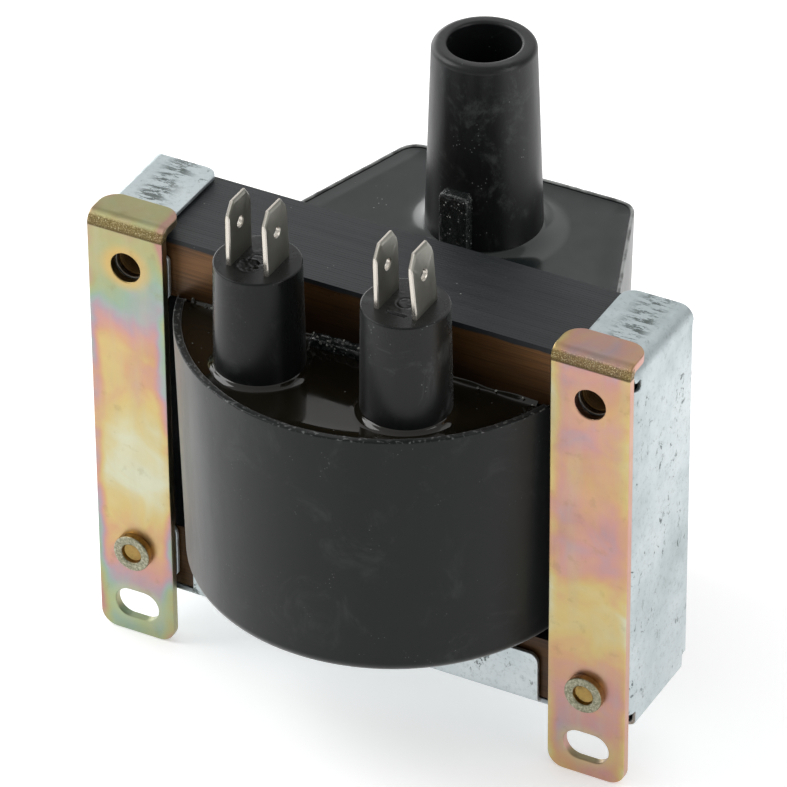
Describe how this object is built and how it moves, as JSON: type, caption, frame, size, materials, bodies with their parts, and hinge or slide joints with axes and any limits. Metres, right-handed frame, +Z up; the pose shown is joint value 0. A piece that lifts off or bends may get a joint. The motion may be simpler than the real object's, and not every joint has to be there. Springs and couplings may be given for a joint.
{
  "type": "ignition coil",
  "caption": "Small engine ignition coil: laminated core in a folded frame, potted winding cup, blade terminals, high-tension tower and slotted steel brackets.",
  "frame": {"origin": "middle of the footprint at the height of the brackets' lower ends", "axes": "+X along the core from the left bracket to the right one, +Y from the brackets towards the high-tension tower, +Z up"},
  "size_m": [0.0874, 0.0746, 0.0925],
  "materials": {
    "core_lamination": "brown varnish and black paint over pressed sheet",
    "white_zinc_steel": "blue-white zinc plate, pitted and scuffed",
    "yellow_zinc_steel": "iridescent yellow-passivated zinc plate",
    "rivet_steel": "yellow-passivated zinc plate, worn grey on the head",
    "post_plastic": "satin black moulding",
    "plated_brass": "dull tin plate",
    "copper_wire": "enamelled copper wire",
    "housing_plastic": "satin black moulding",
    "potting_resin": "glossy black cast resin",
    "tower_plastic": "satin black moulding",
    "contact_brass": "turned brass",
    "bobbin_plastic": "natural filled nylon",
    "insulation_board": "pressboard"
  },
  "bodies": {
    "root": {"core_e_stack": "core_lamination", "core_i_stack": "core_lamination", "air_gap_shim": "insulation_board", "core_frame": "white_zinc_steel", "left_bracket": "yellow_zinc_steel", "right_bracket": "yellow_zinc_steel", "left_rivet": "rivet_steel", "right_rivet": "rivet_steel", "left_terminal_post": "post_plastic", "right_terminal_post": "post_plastic", "left_terminal": "plated_brass", "right_terminal": "plated_brass", "left_primary_lead": "copper_wire", "right_primary_lead": "copper_wire", "housing_cup": "housing_plastic", "potting": "potting_resin", "ht_tower": "tower_plastic", "ht_contact": "contact_brass", "ht_link_wire": "copper_wire", "primary_bobbin": "bobbin_plastic", "primary_winding": "copper_wire", "interwinding_insulation": "insulation_board", "secondary_bobbin": "bobbin_plastic", "secondary_section_1": "copper_wire", "secondary_section_2": "copper_wire", "secondary_section_3": "copper_wire", "secondary_section_4": "copper_wire", "secondary_section_5": "copper_wire", "secondary_section_6": "copper_wire"}
  },
  "joints": []
}
